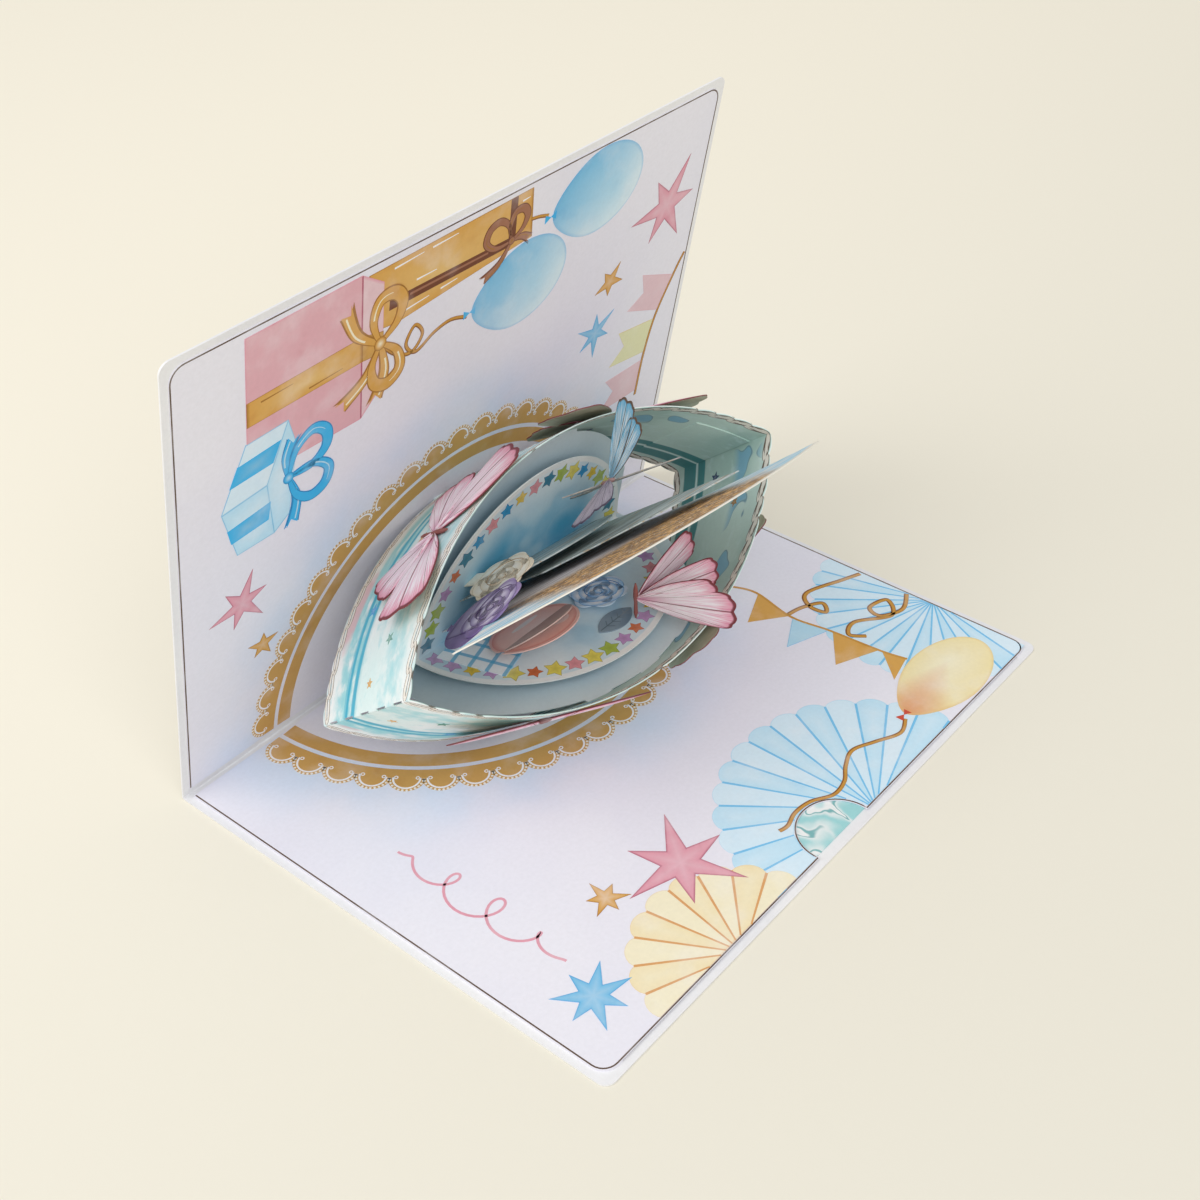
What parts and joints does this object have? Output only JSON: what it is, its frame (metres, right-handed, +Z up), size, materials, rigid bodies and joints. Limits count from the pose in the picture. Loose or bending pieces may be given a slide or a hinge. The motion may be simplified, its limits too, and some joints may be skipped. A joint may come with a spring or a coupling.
{
  "type": "pop-up card",
  "caption": "Part-open folded card whose panels hold a scalloped paper ring; inside stand a star plate, upright panels, butterflies, balloons and flowers.",
  "frame": {"origin": "middle of the card's bounding box, on the surface it rests on", "axes": "+X along the crease, +Y towards the crease, +Z up from the base panel"},
  "size_m": [0.2, 0.15, 0.1469],
  "materials": {
    "cover_paper": "pearl",
    "liner_paper": "matt print",
    "marbled_paper": "matt print",
    "wall_paper": "matt print",
    "floor_paper": "matt print",
    "plate_paper": "matt print",
    "brocade_paper": "matt print",
    "green_paper": "matt print",
    "stem_paper": "matt print",
    "blue_wing": "matt print",
    "pink_wing": "matt print",
    "purple_print": "matt print",
    "cream_print": "matt print",
    "blue_print": "matt print",
    "pink_print": "satin print",
    "leaf_print": "matt print",
    "gingham_print": "matt print"
  },
  "bodies": {
    "root": {"cover": "cover_paper", "back_liner": "liner_paper", "base_liner": "liner_paper", "note_card": "marbled_paper", "side_wall": "wall_paper", "floor_sheet": "floor_paper", "star_plate": "plate_paper", "front_panel": "brocade_paper", "middle_panel": "green_paper", "back_panel": "green_paper", "butterfly_stem": "stem_paper", "blue_butterfly": "blue_wing", "pink_butterfly": "pink_wing", "back_left_butterfly": "pink_wing", "back_right_butterfly": "pink_wing", "front_left_butterfly": "pink_wing", "front_right_butterfly": "pink_wing", "purple_balloon": "purple_print", "purple_rose": "purple_print", "cream_rose": "cream_print", "blue_rose": "blue_print", "pink_balloon": "pink_print", "pink_balloon_slice": "pink_print", "leaf": "leaf_print", "gingham_tag": "gingham_print"}
  },
  "joints": []
}
